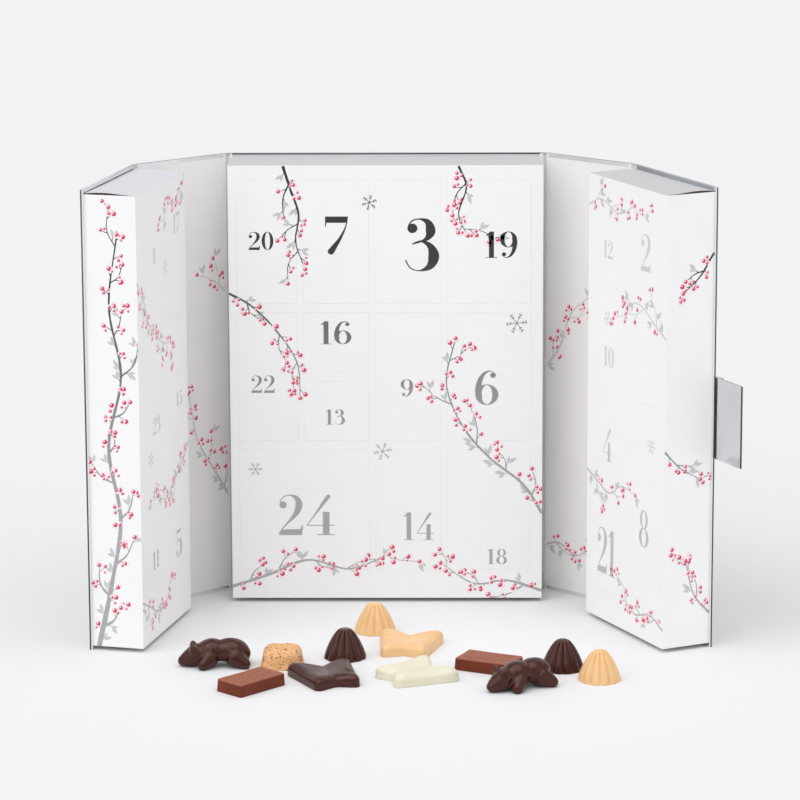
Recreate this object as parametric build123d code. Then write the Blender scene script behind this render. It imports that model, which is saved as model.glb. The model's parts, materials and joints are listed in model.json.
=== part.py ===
from build123d import *
from math import radians, tan
import os

# Advent calendar in a folding case: a back panel, two spines and two covers,
# with a numbered carton on the back panel and one on each cover.
# Everything is drawn with the case lying fully open, outer faces on y = 0 and
# the cartons towards -y, and is then folded forward to its resting pose.
# Sizes are in millimetres and degrees, X right, Y away from the viewer, Z up.

# Case
case_width = 210.0
case_height = 296.0
spine_width = 75.0
meeting_gap = 1.0
board_thickness = 1.8
foil_thickness = 0.15
liner_thickness = 0.15
foil_turn_in = 2.6
fold_relief = 0.1

# Resting pose, each angle in degrees from the panel before it
left_spine_angle = 39.46
left_cover_angle = 36.95
right_spine_angle = 40.76
right_cover_angle = 22.84

# Cartons
carton_depth = 33.5
carton_end_gap = 2.75
carton_board = 0.6
side_clearance = 0.4
free_edge_margin = 1.0
tongue_length = 11.5
dust_flap_length = 26.0
flap_clearance = 0.3

# Little doors
slit_gap = 0.25
crease_gap = 0.1

# Pocket trays
tray_film = 0.5
tray_clearance = 0.3
tray_front_gap = 0.1
pocket_inset = 3.0
pocket_corner = 4.0
pocket_draft = 3.0

# Closing tab
tab_height = 52.3
tab_length = 30.5
tab_board = 1.2
tab_gap = 0.15
tab_crease = 0.5
tab_anchor_length = 22.0
tab_middle_share = 0.504
magnet_diameter = 8.0
magnet_thickness = 0.8
magnet_clearance = 0.05
magnet_spacing = 28.0
magnet_reach = 18.5

# Chocolates
rest_gap = 0.2
dome_diameter = 27.0
dome_height = 19.0
dome_top_diameter = 8.0
dome_skirt = 1.0
dome_waist_diameter = 21.0
flute_count = 12
flute_radius = 1.5
bar_length = 38.0
bar_width = 21.6
bar_height = 8.0
bar_edge = 0.8
rib_count = 7
rib_width = 1.2
rib_depth = 0.4
rib_margin = 2.6
bow_width = 41.0
bow_narrow_width = 27.0
bow_length = 44.0
bow_notch = 6.5
bow_height = 9.0
bow_corner = 3.0
bow_draft = 8.0
bow_edge = 1.6
square_side = 26.0
square_corner = 8.0
square_height = 12.0
square_draft = 8.0
square_edge = 3.0
bear_body_radius = 8.6
bear_body_length = 13.0
bear_neck_length = 10.75
bear_head_radius = 6.6
bear_snout_radius = 2.9
bear_leg_radius = 3.2
bear_stance = 8.0
bear_ear_radius = 2.1

# Door columns and rows, as shares of the carton's width and height
center_column_shares = {
    "first": (0.027, 0.217),
    "second": (0.237, 0.446),
    "third": (0.466, 0.676),
    "fourth": (0.695, 0.963),
}
side_column_shares = {
    "first": (0.060, 0.465),
    "second": (0.535, 0.940),
}
row_shares = {
    "top": (0.686, 0.968),
    "middle": (0.369, 0.665),
    "bottom": (0.066, 0.348),
    "upper middle": (0.528, 0.665),
    "lower middle": (0.369, 0.507),
    "upper half": (0.528, 0.968),
    "lower half": (0.066, 0.507),
    "fourth quarter": (0.758, 0.968),
    "third quarter": (0.528, 0.737),
    "second quarter": (0.297, 0.507),
    "first quarter": (0.066, 0.276),
}

# Each door's name, first and last column, row, and the chocolate left in its pocket
center_doors = [
    ("door_20", "first", "first", "top", None),
    ("door_07", "second", "second", "top", None),
    ("door_03", "third", "third", "top", "dome"),
    ("door_19", "fourth", "fourth", "top", None),
    ("door_22", "first", "first", "middle", "bar"),
    ("door_16", "second", "second", "upper middle", "square"),
    ("door_13", "second", "second", "lower middle", None),
    ("door_09", "third", "third", "middle", None),
    ("door_06", "fourth", "fourth", "middle", "bow"),
    ("door_24", "first", "second", "bottom", "bow"),
    ("door_14", "third", "third", "bottom", "dome"),
    ("door_18", "fourth", "fourth", "bottom", None),
]
left_doors = [
    ("door_01", "first", "first", "top", "dome"),
    ("door_17", "second", "second", "top", None),
    ("door_23", "first", "first", "middle", None),
    ("door_15", "second", "second", "middle", "bar"),
    ("door_11", "first", "first", "bottom", None),
    ("door_05", "second", "second", "bottom", "square"),
]
right_doors = [
    ("door_02", "second", "second", "upper half", "bar"),
    ("door_08", "second", "second", "lower half", "dome"),
    ("door_12", "first", "first", "fourth quarter", None),
    ("door_10", "first", "first", "third quarter", "square"),
    ("door_04", "first", "first", "second quarter", None),
    ("door_21", "first", "first", "first quarter", None),
]

# Chocolates standing in front: kind, place across as a share of the case's width,
# place forward as a share of a spine and a cover together, and turn in degrees
dark_place_shares = [
    ("bear", -0.505, -1.025, 4),
    ("bow", -0.162, -1.203, 20),
    ("dome", -0.117, -0.925, 0),
    ("bear", 0.400, -1.292, 31),
    ("dome", 0.533, -1.064, 0),
]
milk_place_shares = [
    ("bar", -0.384, -1.2975, 46.5),
    ("bar", 0.314, -1.070, -25),
]
caramel_place_shares = [
    ("dome", -0.032, -0.589, 0),
    ("bow", 0.071, -0.819, -8),
    ("dome", 0.638, -1.194, 0),
]
white_place_shares = [
    ("square", -0.302, -1.0195, 0),
    ("bow", 0.095, -1.1755, -59),
]

# Worked out from the sizes above
cover_width = (case_width - meeting_gap) / 2
panel_thickness = foil_thickness + board_thickness + liner_thickness
carton_edge_gap = panel_thickness + side_clearance
center_carton_width = case_width - 2 * carton_edge_gap
side_carton_width = cover_width - carton_edge_gap - free_edge_margin
carton_low = carton_end_gap
carton_high = case_height - carton_end_gap
carton_height = carton_high - carton_low
carton_front = panel_thickness + carton_depth
tray_near = panel_thickness + carton_board + tray_clearance
tray_far = carton_front - carton_board - tray_front_gap
pocket_depth = tray_far - tray_near - tray_film
tab_thickness = tab_board + 2 * foil_thickness
tab_middle = tab_middle_share * case_height
back_fold = case_width / 2
cover_fold = back_fold + spine_width
free_edge = cover_fold + cover_width
bear_length = bear_snout_radius + 2 * bear_neck_length + bear_body_length + bear_body_radius

from_corner = (Align.MIN, Align.MIN, Align.MIN)
on_floor = (Align.CENTER, Align.CENTER, Align.MIN)
below_floor = (Align.CENTER, Align.CENTER, Align.MAX)


def block(left, right, near, far, low, high):
    """Box between two depths, counted from the case's outer face towards the viewer."""
    return Pos(left, -far, low) * Box(right - left, far - near, high - low, align=from_corner)


def panel_layer(left, right, near, far, low, high, folds):
    """One layer of a panel, mitred at each fold so that it closes to a square corner."""
    outline = []
    for depth in (near, far):
        setback = fold_relief + depth
        start = left + setback if "left" in folds else left
        stop = right - setback if "right" in folds else right
        outline.append([(start, -depth), (stop, -depth)])
    near_line, far_line = outline
    face = make_face(Polyline(near_line[0], near_line[1], far_line[1], far_line[0], close=True))
    return Pos(0, 0, low) * extrude(face, amount=high - low)


def panel_pieces(left, right, folds):
    """Board, the foil wrapped round it and the paper liner of one panel."""
    board_far = foil_thickness + board_thickness
    left_cap = 0 if "left" in folds else foil_thickness
    right_cap = 0 if "right" in folds else foil_thickness
    left_hem = 0 if "left" in folds else foil_turn_in
    right_hem = 0 if "right" in folds else foil_turn_in
    board = panel_layer(
        left + left_cap, right - right_cap, foil_thickness, board_far,
        foil_thickness, case_height - foil_thickness, folds,
    )
    liner = panel_layer(
        left + left_hem, right - right_hem, board_far, panel_thickness,
        foil_turn_in, case_height - foil_turn_in, folds,
    )
    foil = panel_layer(left, right, 0, panel_thickness, 0, case_height, folds) - board - liner
    return board, foil, liner


def door_span(carton_left, carton_width, column_shares, door):
    """Left, right, low and high edge of a door's opening in the carton's front."""
    first_column, last_column, row = door[1:4]
    left = carton_left + carton_width * column_shares[first_column][0]
    right = carton_left + carton_width * column_shares[last_column][1]
    low = carton_low + carton_height * row_shares[row][0]
    high = carton_low + carton_height * row_shares[row][1]
    return left, right, low, high


def carton_sleeve(left, right, spans):
    """Glued sleeve of a carton, open at both ends, with a cut opening for each door."""
    low = carton_low + carton_board
    high = carton_high - carton_board
    sleeve = block(left, right, panel_thickness, carton_front, low, high)
    sleeve -= block(
        left + carton_board, right - carton_board,
        panel_thickness + carton_board, carton_front - carton_board, low, high,
    )
    for span in spans:
        sleeve -= block(span[0], span[1], carton_front - carton_board, carton_front, span[2], span[3])
    return sleeve


def carton_end(left, right, outer_face, inward):
    """Lid of one end with its tucked tongue, and the two dust flaps under it."""
    lid_face = outer_face + inward * carton_board
    tongue_end = lid_face + inward * tongue_length
    tongue_near = panel_thickness + carton_board + flap_clearance
    tongue_far = tongue_near + carton_board
    lid = block(
        left, right, panel_thickness, carton_front,
        min(outer_face, lid_face), max(outer_face, lid_face),
    )
    lid += block(
        left + carton_board + flap_clearance, right - carton_board - flap_clearance,
        tongue_near, tongue_far, min(lid_face, tongue_end), max(lid_face, tongue_end),
    )
    flap_start = lid_face + inward * tray_front_gap
    flap_face = flap_start + inward * carton_board
    pieces = [lid]
    for flap_left in (left + carton_board, right - carton_board - dust_flap_length):
        flap = block(
            flap_left, flap_left + dust_flap_length,
            tongue_far + flap_clearance, carton_front - carton_board - flap_clearance,
            min(flap_start, flap_face), max(flap_start, flap_face),
        )
        pieces.append(flap)
    return pieces


def little_door(span):
    """Leaf of a door, level with the carton's front and creased along its left edge."""
    left, right, low, high = span
    return block(
        left + crease_gap, right - slit_gap, carton_front - carton_board, carton_front,
        low + slit_gap, high - slit_gap,
    )


def pocket_shape(span, growth):
    """Tapered hollow of one pocket or, grown by the film, its outside."""
    left, right, low, high = span
    mouth = Plane(
        origin=((left + right) / 2, -tray_far, (low + high) / 2),
        x_dir=(1, 0, 0),
        z_dir=(0, 1, 0),
    )
    outline = RectangleRounded(
        right - left - 2 * (pocket_inset - growth),
        high - low - 2 * (pocket_inset - growth),
        pocket_corner + growth,
    )
    return extrude(mouth * outline, amount=pocket_depth + growth, taper=pocket_draft)


def pocket_tray(left, right, spans):
    """Formed film tray: a flange behind the carton's front with a pocket for each door."""
    side_gap = carton_board + tray_clearance
    end_gap = 2 * carton_board + tray_front_gap + tray_clearance
    tray = block(
        left + side_gap, right - side_gap, tray_far - tray_film, tray_far,
        carton_low + end_gap, carton_high - end_gap,
    )
    for span in spans:
        tray += pocket_shape(span, tray_film)
    for span in spans:
        tray -= pocket_shape(span, 0)
    return tray


def dome():
    """Fluted dome with a small flat top."""
    base = dome_diameter / 2
    waist = dome_waist_diameter / 2
    top = dome_top_diameter / 2
    middle = (dome_skirt + dome_height) / 2
    side = ThreePointArc((base, dome_skirt), (waist, middle), (top, dome_height))
    rest = Polyline((top, dome_height), (0, dome_height), (0, 0), (base, 0), (base, dome_skirt))
    body = revolve(Plane.XZ * make_face([side, rest]), axis=Axis.Z)
    out = flute_radius / 2
    path = Plane.XZ * ThreePointArc((base + out, 0), (waist + out, middle), (top + out, dome_height + out))
    flute = sweep(Plane(origin=path @ 0, z_dir=path % 0) * Circle(flute_radius), path=path)
    for step in range(flute_count):
        body -= Rot(0, 0, 360 * step / flute_count) * flute
    return body


def bar():
    """Flat bar with a few grooves across its top."""
    body = Box(bar_length, bar_width, bar_height, align=on_floor)
    body = fillet(body.faces().sort_by(Axis.Z)[-1].edges(), bar_edge)
    pitch = bar_length / (rib_count + 1)
    for step in range(rib_count):
        groove = Box(rib_width, bar_width - 2 * rib_margin, 2 * rib_depth)
        body -= Pos(pitch * (step + 1) - bar_length / 2, 0, bar_height) * groove
    return body


def bow():
    """Puffed bow with a broad side, a narrow side and a notch in each."""
    reach = bow_length / 2
    broad = bow_width / 2
    narrow = bow_narrow_width / 2
    outline = Polyline(
        (-broad, reach), (-narrow, -reach), (0, bow_notch - reach),
        (narrow, -reach), (broad, reach), (0, reach - bow_notch),
        close=True,
    )
    face = make_face(outline)
    face = fillet(face.vertices(), bow_corner)
    body = extrude(face, amount=bow_height, taper=bow_draft)
    return fillet(body.faces().sort_by(Axis.Z)[-1].edges(), bow_edge)


def square():
    """Soft-edged square piece."""
    outline = RectangleRounded(square_side, square_side, square_corner)
    body = extrude(outline, amount=square_height, taper=square_draft)
    return fillet(body.faces().sort_by(Axis.Z)[-1].edges(), square_edge)


def capsule(start, end, radius):
    """Rod with round ends between two points."""
    line = Line(start, end)
    rod = Plane(origin=line @ 0, z_dir=line % 0) * Cylinder(radius, line.length, align=on_floor)
    return rod + Pos(*start) * Sphere(radius) + Pos(*end) * Sphere(radius)


def bear():
    """Bear lying down, its snout towards -x, cut flat where it rests."""
    rump = bear_length / 2 - bear_body_radius
    nose = bear_snout_radius - bear_length / 2
    head = nose + bear_neck_length
    chest = head + bear_neck_length
    back_height = bear_body_radius / 2
    shape = capsule((chest, 0, back_height), (rump, 0, back_height), bear_body_radius)
    shape += Pos(head, 0, bear_head_radius) * Sphere(bear_head_radius)
    shape += capsule((nose, 0, bear_snout_radius), (head, 0, bear_head_radius / 2), bear_snout_radius)
    for hand in (-1, 1):
        ear = (head + bear_ear_radius, hand * bear_head_radius * 2 / 3, bear_head_radius * 5 / 3)
        shape += Pos(*ear) * Sphere(bear_ear_radius)
        for joint in (chest, rump):
            hip = (joint, hand * bear_stance / 2, bear_leg_radius)
            foot = (joint - bear_leg_radius, hand * bear_stance, bear_leg_radius / 2)
            shape += capsule(hip, foot, bear_leg_radius)
    below = Box(2 * bear_length, 2 * bear_length, bear_length, align=below_floor)
    return shape - below


shapes = {"dome": dome(), "bar": bar(), "bow": bow(), "square": square(), "bear": bear()}

# How tall each kind is on its long side in a pocket, and how it is turned for that
upright_heights = {"dome": dome_diameter, "bar": bar_length, "bow": bow_length, "square": square_side}
upright_turns = {"dome": 0, "bar": 90, "bow": 0, "square": 0}


def displayed(place_shares):
    """Chocolates standing on the floor in front of the case."""
    pieces = []
    for kind, across_share, forward_share, turn in place_shares:
        across = across_share * case_width
        forward = forward_share * (spine_width + cover_width)
        pieces.append(Pos(across, forward, 0) * Rot(0, 0, turn) * shapes[kind])
    return pieces


def kept_chocolates(doors, spans):
    """Chocolates still in their pockets, base to the pocket's floor and down on its low wall."""
    pieces = []
    wall_rise = pocket_depth * tan(radians(pocket_draft))
    base = tray_near + tray_film + rest_gap
    for door, span in zip(doors, spans):
        kind = door[4]
        if kind is None:
            continue
        left, right, low, high = span
        middle = low + pocket_inset + wall_rise + rest_gap + upright_heights[kind] / 2
        place = Pos((left + right) / 2, -base, middle)
        pieces.append(place * Rot(90, 0, 0) * Rot(0, 0, upright_turns[kind]) * shapes[kind])
    return pieces


def disc_pair(center_x, near, far, clearance):
    """Two flat discs one above the other, their axes square to the panel."""
    pieces = []
    for hand in (-1, 1):
        plane = Plane(
            origin=(center_x, -far, tab_middle + hand * magnet_spacing / 2),
            x_dir=(1, 0, 0),
            z_dir=(0, 1, 0),
        )
        pieces.append(extrude(plane * Circle(magnet_diameter / 2 + clearance), amount=far - near))
    return pieces


def folded(shape, folds):
    """Turn a shape drawn on the open case about its folds, the outermost fold first."""
    for fold_x, turn in folds:
        shape = Pos(fold_x, 0, 0) * Rot(0, 0, turn) * Pos(-fold_x, 0, 0) * shape
    return shape


def save(node, pieces, folds=()):
    """Write a piece, or a group of like solids, in its resting place."""
    solids = []
    for piece in pieces:
        solids.extend(folded(piece, folds).solids())
    shape = solids[0] if len(solids) == 1 else Compound(children=solids)
    export_step(shape, "parts/" + node + ".step")


def save_carton(side, left, right, column_shares, doors, folds):
    """Write one carton with its ends, pocket tray, doors and the chocolates left in it."""
    spans = [door_span(left, right - left, column_shares, door) for door in doors]
    save(side + "_carton", [carton_sleeve(left, right, spans)], folds)
    ends = carton_end(left, right, carton_high, -1) + carton_end(left, right, carton_low, 1)
    save(side + "_end_flaps", ends, folds)
    save(side + "_pocket_tray", [pocket_tray(left, right, spans)], folds)
    save(side + "_chocolates", kept_chocolates(doors, spans), folds)
    for door, span in zip(doors, spans):
        save(door[0], [little_door(span)], folds)


def save_panel(side, left, right, ends, folds, recesses=()):
    """Write the board, foil and liner of one panel, with any recesses cut in its board."""
    board, foil, liner = panel_pieces(left, right, ends)
    for recess in recesses:
        board -= recess
    save(side + "_board", [board], folds)
    save(side + "_foil", [foil], folds)
    save(side + "_liner", [liner], folds)


os.makedirs("parts", exist_ok=True)

left_spine_folds = [(-back_fold, left_spine_angle)]
left_cover_folds = [(-cover_fold, left_cover_angle)] + left_spine_folds
right_spine_folds = [(back_fold, -right_spine_angle)]
right_cover_folds = [(cover_fold, -right_cover_angle)] + right_spine_folds

# The keepers land under the magnets when the covers meet
keeper_x = meeting_gap + free_edge - magnet_reach
keeper_far = foil_thickness + magnet_thickness
keeper_recesses = disc_pair(-keeper_x, foil_thickness, keeper_far, magnet_clearance)

save_panel("back", -back_fold, back_fold, ("left", "right"), [])
save_panel("left_spine", -cover_fold, -back_fold, ("left", "right"), left_spine_folds)
save_panel("left_cover", -free_edge, -cover_fold, ("right",), left_cover_folds, keeper_recesses)
save_panel("right_spine", back_fold, cover_fold, ("left", "right"), right_spine_folds)
save_panel("right_cover", cover_fold, free_edge, ("left",), right_cover_folds)
save("left_cover_keepers", disc_pair(-keeper_x, foil_thickness, keeper_far, 0), left_cover_folds)

save_carton(
    "center", -center_carton_width / 2, center_carton_width / 2,
    center_column_shares, center_doors, [],
)
left_carton_left = free_edge_margin - free_edge
save_carton(
    "left", left_carton_left, left_carton_left + side_carton_width,
    side_column_shares, left_doors, left_cover_folds,
)
right_carton_left = cover_fold + carton_edge_gap
save_carton(
    "right", right_carton_left, right_carton_left + side_carton_width,
    side_column_shares, right_doors, right_cover_folds,
)

# Closing tab, lying just outside the cover's plane, and its anchor glued to the cover
tab_low = tab_middle - tab_height / 2
tab_high = tab_middle + tab_height / 2
tab_near = -tab_gap - tab_thickness
tab_inner = -tab_gap
tab_left = free_edge + tab_crease
tab_right = free_edge + tab_length
tab_envelope = block(tab_left, tab_right, tab_near, tab_inner, tab_low, tab_high)
tab_core = block(
    tab_left + foil_thickness, tab_right - foil_thickness,
    tab_near + foil_thickness, tab_inner - foil_thickness,
    tab_low + foil_thickness, tab_high - foil_thickness,
)
magnet_far = tab_inner - foil_thickness
magnet_near = magnet_far - magnet_thickness
tab_core_recessed = tab_core
for recess in disc_pair(free_edge + magnet_reach, magnet_near, magnet_far, magnet_clearance):
    tab_core_recessed -= recess
save("closing_tab_board", [tab_core_recessed], right_cover_folds)
save("closing_tab_foil", [tab_envelope - tab_core], right_cover_folds)
save(
    "closing_tab_magnets",
    disc_pair(free_edge + magnet_reach, magnet_near, magnet_far, 0),
    right_cover_folds,
)
save(
    "tab_anchor",
    [block(free_edge - tab_anchor_length, free_edge, tab_near, 0, tab_low, tab_high)],
    right_cover_folds,
)

save("dark_chocolates", displayed(dark_place_shares))
save("milk_chocolates", displayed(milk_place_shares))
save("caramel_chocolates", displayed(caramel_place_shares))
save("white_chocolates", displayed(white_place_shares))
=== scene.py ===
import bpy
import json
from math import atan2, copysign, cos, hypot, pi, radians, sin
from mathutils import Matrix, Vector, noise
from mathutils.geometry import delaunay_2d_cdt
from random import Random


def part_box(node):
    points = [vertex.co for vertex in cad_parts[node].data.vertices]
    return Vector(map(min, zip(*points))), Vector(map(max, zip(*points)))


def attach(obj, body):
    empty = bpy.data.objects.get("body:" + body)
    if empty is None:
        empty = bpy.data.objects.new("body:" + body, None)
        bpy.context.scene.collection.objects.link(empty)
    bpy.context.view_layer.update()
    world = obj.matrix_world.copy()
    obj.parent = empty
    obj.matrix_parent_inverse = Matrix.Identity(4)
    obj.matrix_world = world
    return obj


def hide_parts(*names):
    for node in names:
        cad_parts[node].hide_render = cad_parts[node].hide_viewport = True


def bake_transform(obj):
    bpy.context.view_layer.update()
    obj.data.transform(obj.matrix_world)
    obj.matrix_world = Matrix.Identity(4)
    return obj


# Advent calendar in a folding case, with its chocolates set out in front.
# Lengths are written in millimetres and multiplied by MM where Blender needs metres.
MM = 0.001

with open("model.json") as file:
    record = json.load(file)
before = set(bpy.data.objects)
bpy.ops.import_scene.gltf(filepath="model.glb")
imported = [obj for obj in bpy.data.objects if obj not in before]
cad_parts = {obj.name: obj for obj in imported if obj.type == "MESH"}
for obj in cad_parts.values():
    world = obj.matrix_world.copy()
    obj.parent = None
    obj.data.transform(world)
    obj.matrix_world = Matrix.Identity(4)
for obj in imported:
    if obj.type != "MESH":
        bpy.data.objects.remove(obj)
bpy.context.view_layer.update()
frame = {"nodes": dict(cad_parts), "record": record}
cad_nodes = frame["nodes"]
joint_place = {joint["name"]: Vector(joint["pos_m"]) for joint in frame["record"]["behaviour"]["joints"]}
up = Vector((0, 0, 1))

# Case and cartons
case_height = 296.0
spine_width = 75.0
cover_width = 104.5
panel_thickness = 2.1
foil_thickness = 0.15
groove_half_width = 2.3
carton_depth = 33.5
carton_height = 290.5
carton_board = 0.6
center_carton_width = 205.0
side_carton_width = 101.0
slit_gap = 0.05
crease_gap = 0.03
crease_room = 0.1

# Heights between which a bar's colour turns lighter: painted light on its top face
painted_light_low = 6.8
painted_light_high = 7.7

# Columns and rows of doors, as shares of the front's width and height
center_column_shares = [(0.027, 0.217), (0.237, 0.446), (0.466, 0.676), (0.695, 0.963)]
side_column_shares = [(0.060, 0.465), (0.535, 0.940)]
row_shares = {
    "top": (0.686, 0.968),
    "middle": (0.369, 0.665),
    "bottom": (0.066, 0.348),
    "upper middle": (0.528, 0.665),
    "lower middle": (0.369, 0.507),
    "upper half": (0.528, 0.968),
    "lower half": (0.066, 0.507),
    "fourth quarter": (0.758, 0.968),
    "third quarter": (0.528, 0.737),
    "second quarter": (0.297, 0.507),
    "first quarter": (0.066, 0.276),
}
center_doors = {
    20: (0, 0, "top"), 7: (1, 1, "top"), 3: (2, 2, "top"), 19: (3, 3, "top"),
    22: (0, 0, "middle"), 16: (1, 1, "upper middle"), 13: (1, 1, "lower middle"),
    9: (2, 2, "middle"), 6: (3, 3, "middle"),
    24: (0, 1, "bottom"), 14: (2, 2, "bottom"), 18: (3, 3, "bottom"),
}
left_doors = {
    1: (0, 0, "top"), 17: (1, 1, "top"), 23: (0, 0, "middle"),
    15: (1, 1, "middle"), 11: (0, 0, "bottom"), 5: (1, 1, "bottom"),
}
right_doors = {
    2: (1, 1, "upper half"), 8: (1, 1, "lower half"), 12: (0, 0, "fourth quarter"),
    10: (0, 0, "third quarter"), 4: (0, 0, "second quarter"), 21: (0, 0, "first quarter"),
}

# Each number's left, right, low and high edge on its carton's front, in millimetres
center_numbers_mm = {
    20: (13.1, 29.4, 234.8, 246.7), 7: (63.2, 78.1, 231.9, 256.8), 3: (115.0, 137.4, 220.6, 255.4),
    19: (167.7, 188.2, 229.4, 246.8), 16: (59.6, 79.8, 172.1, 187.4), 22: (13.8, 29.3, 139.5, 151.2),
    9: (112.0, 120.1, 136.9, 148.6), 6: (160.8, 176.1, 131.2, 154.3), 13: (62.8, 75.3, 118.1, 128.3),
    24: (30.9, 67.9, 43.1, 70.7), 14: (113.7, 133.5, 39.7, 58.5), 18: (169.1, 182.0, 23.1, 33.5),
}
left_numbers_mm = {
    17: (75.7, 89.1, 253.9, 266.5), 1: (32.4, 39.4, 241.5, 251.7), 15: (77.0, 89.3, 140.4, 149.7),
    23: (27.3, 42.4, 132.5, 143.4), 11: (22.3, 35.4, 45.3, 57.1), 5: (71.6, 83.4, 40.7, 59.3),
}
right_numbers_mm = {
    12: (20.1, 31.8, 239.0, 250.5), 2: (68.3, 80.5, 238.6, 262.1), 10: (21.3, 34.3, 168.8, 181.7),
    4: (21.0, 32.6, 106.7, 128.3), 21: (14.8, 38.6, 31.1, 61.5), 8: (69.4, 81.8, 60.8, 84.6),
}


# Looks: procedural materials, their patterns laid out in the object's own metres

class Look:
    """A material built up round its Principled shader."""

    def __init__(self, name, color, roughness, metallic=0.0):
        self.material = bpy.data.materials.new(name)
        self.material.use_nodes = True
        self.tree = self.material.node_tree
        self.shader = self.tree.nodes["Principled BSDF"]
        self.feed(self.shader, {"Base Color": (*color, 1), "Roughness": roughness, "Metallic": metallic})

    def feed(self, item, values):
        """Set a node's inputs, or connect those whose value comes out of another node."""
        for key, value in values.items():
            if isinstance(value, bpy.types.NodeSocket):
                self.tree.links.new(value, item.inputs[key])
            else:
                item.inputs[key].default_value = value

    def add(self, kind, values, output, **settings):
        """Output of a new node."""
        item = self.tree.nodes.new(kind)
        for key, value in settings.items():
            setattr(item, key, value)
        self.feed(item, values)
        return item.outputs[output]

    def shade(self, socket, value):
        """Give the shader itself a value or a pattern."""
        self.feed(self.shader, {socket: value})

    def cloud(self, scale, detail):
        """Noise in space."""
        place = self.add("ShaderNodeTexCoord", {}, "Object")
        return self.add("ShaderNodeTexNoise", {"Vector": place, "Scale": scale, "Detail": detail}, "Fac")

    def span(self, value, low, high, to_low=0.0, to_high=1.0):
        """Value carried from one range to another."""
        ends = {"From Min": low, "From Max": high, "To Min": to_low, "To Max": to_high}
        return self.add("ShaderNodeMapRange", {"Value": value, **ends}, "Result")

    def rise(self, low, high):
        """Share of the way up from one height to another, both in millimetres."""
        place = self.add("ShaderNodeTexCoord", {}, "Object")
        return self.span(self.add("ShaderNodeSeparateXYZ", {"Vector": place}, "Z"), low * MM, high * MM)

    def mix(self, share, base, color):
        """Colour that turns from the base to a plain one."""
        colors = {"Factor": share, "A": base, "B": (*color, 1)}
        return self.add("ShaderNodeMix", colors, "Result", data_type="RGBA")

    def tones(self, value, stops):
        """Colour that follows a value; stops are (position, colour)."""
        item = self.tree.nodes.new("ShaderNodeValToRGB")
        elements = item.color_ramp.elements
        while len(elements) < len(stops):
            elements.new(0.5)
        for element, (position, color) in zip(elements, stops):
            element.position = position
            element.color = (*color, 1)
        self.feed(item, {"Fac": value})
        return item.outputs["Color"]

    def mottle(self, scale, detail, stops):
        """Base colour that varies over a cloud of tones."""
        base = self.tones(self.cloud(scale, detail), stops)
        self.shade("Base Color", base)
        return base

    def gloss(self, scale, detail, low, high):
        """Roughness that varies between two values."""
        self.shade("Roughness", self.span(self.cloud(scale, detail), 0.3, 0.7, low, high))

    def bump(self, scale, detail, strength, distance):
        """Uneven surface, its distance in metres."""
        values = {"Height": self.cloud(scale, detail), "Strength": strength, "Distance": distance}
        self.shade("Normal", self.add("ShaderNodeBump", values, "Normal"))


def paper_look(name, color, roughness, mottle, grain_scale=900.0):
    """Paper or board with faint fibre mottling and a fine grain."""
    look = Look(name, color, roughness)
    dark = tuple(channel * (1 - mottle) for channel in color)
    look.mottle(60.0, 5.0, [(0.35, dark), (0.65, color)])
    look.bump(grain_scale, 4.0, strength=0.12, distance=0.00006)
    return look.material


def foil_look(name, low, high):
    """Silvered foil wrapped round board: bright and smooth, with faint clouds in its tone and gloss."""
    look = Look(name, high, 0.2, metallic=1.0)
    look.mottle(18.0, 2.0, [(0.3, low), (0.7, high)])
    look.gloss(150.0, 3.0, 0.16, 0.24)
    look.bump(60.0, 2.0, strength=0.08, distance=0.0001)
    return look.material


def stamped_look(name, stops):
    """Hot-stamped foil of numbers and stems, its tone set by height on the case: a painted reflection of the
    surroundings in the glossy foil.
    """
    look = Look(name, (0.4, 0.4, 0.41), 0.42, metallic=0.3)
    look.shade("Base Color", look.tones(look.rise(0, case_height), stops))
    look.bump(1500.0, 2.0, strength=0.3, distance=0.00003)
    return look.material


def ink_look(name, color):
    """Printed ink with a slight unevenness."""
    look = Look(name, color, 0.5)
    light = tuple(min(1, channel * 1.15 + 0.01) for channel in color)
    look.mottle(500.0, 3.0, [(0.4, color), (0.7, light)])
    return look.material


def chocolate_look(name, color, shade, roughness, tint, top=None):
    """Moulded chocolate: slightly uneven colour and gloss.

    tint colours its sheen; top is a lighter colour for the upper face of a bar: painted light where its
    pressed lines catch the light."""
    look = Look(name, color, roughness)
    base = look.mottle(90.0, 1.0, [(0.3, shade), (0.7, color)])
    if top:
        # Painted light: a bar's top turns to the lighter colour
        look.shade("Base Color", look.mix(look.rise(painted_light_low, painted_light_high), base, top))
    look.gloss(150.0, 1.0, roughness * 0.95, roughness * 1.2)
    look.shade("Specular Tint", (*tint, 1))
    look.bump(130.0, 0.0, strength=0.1, distance=0.0002)
    return look.material


def speckled_look():
    """Pale caramel coating with crumbs of nougat, many small and a few large."""
    look = Look("speckled_caramel", (0.84, 0.47, 0.19), 0.55)
    base = look.mottle(650.0, 4.0, [(0.35, (0.66, 0.32, 0.12)), (0.65, (0.84, 0.50, 0.24))])
    for scale, low, high in ((400.0, 0.685, 0.705), (800.0, 0.665, 0.695)):
        crumbs = look.tones(look.cloud(scale, 0.5), [(low, (0, 0, 0)), (high, (1, 1, 1))])
        base = look.mix(crumbs, base, (0.17, 0.035, 0.015))
    look.shade("Base Color", base)
    look.bump(420.0, 5.0, strength=0.6, distance=0.0005)
    return look.material


def film_look():
    """Clear formed film of the pocket trays, a little milky."""
    look = Look("tray_film", (0.90, 0.91, 0.92), 0.2)
    look.shade("Transmission Weight", 0.35)
    look.shade("IOR", 1.5)
    look.gloss(200.0, 3.0, 0.15, 0.26)
    return look.material


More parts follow.
